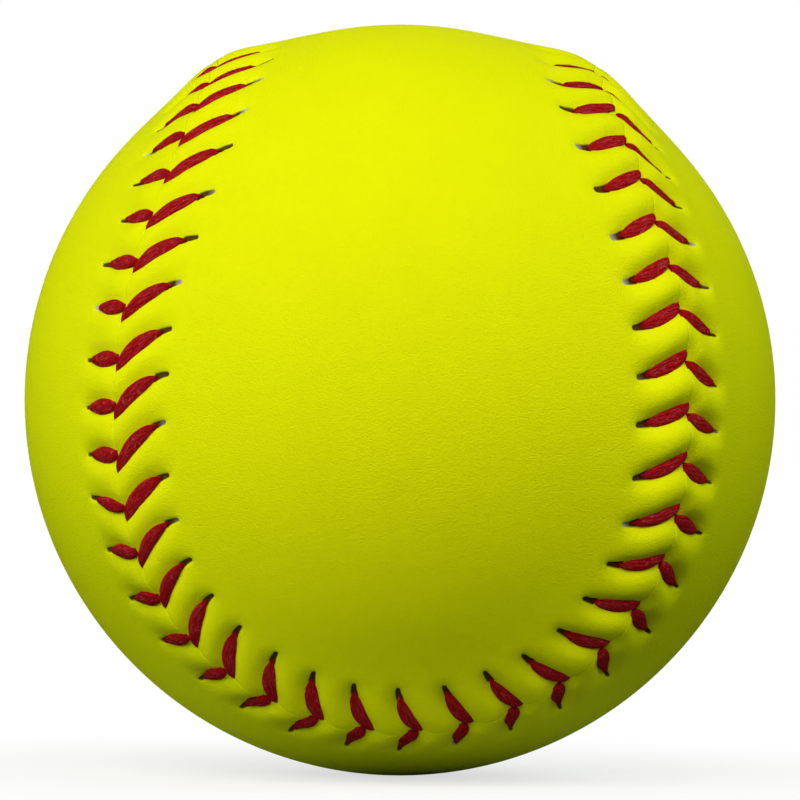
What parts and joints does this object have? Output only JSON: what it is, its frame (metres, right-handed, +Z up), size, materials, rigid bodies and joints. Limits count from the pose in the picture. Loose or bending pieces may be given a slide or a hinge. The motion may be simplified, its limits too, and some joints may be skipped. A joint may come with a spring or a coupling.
{
  "type": "softball",
  "caption": "Yellow softball: interlocking figure-eight cover panels over a moulded core, laced along a raised seam in crimson thread, for pitching, batting and catching.",
  "frame": {"origin": "centre of the ball", "axes": "+Z up; the front panel's front lobe faces -Y, turned 6 degrees upwards; +X to the right as seen from the front"},
  "size_m": [0.089, 0.089, 0.089],
  "materials": {
    "core": "moulded polyurethane foam, matt",
    "cover": "optic-yellow synthetic leather, faintly grained, satin",
    "thread": "waxed multi-strand crimson yarn, matt"
  },
  "bodies": {
    "root": {"core": "core", "front_panel": "cover", "side_panel": "cover", "first_thread": "thread", "second_thread": "thread"}
  },
  "joints": []
}
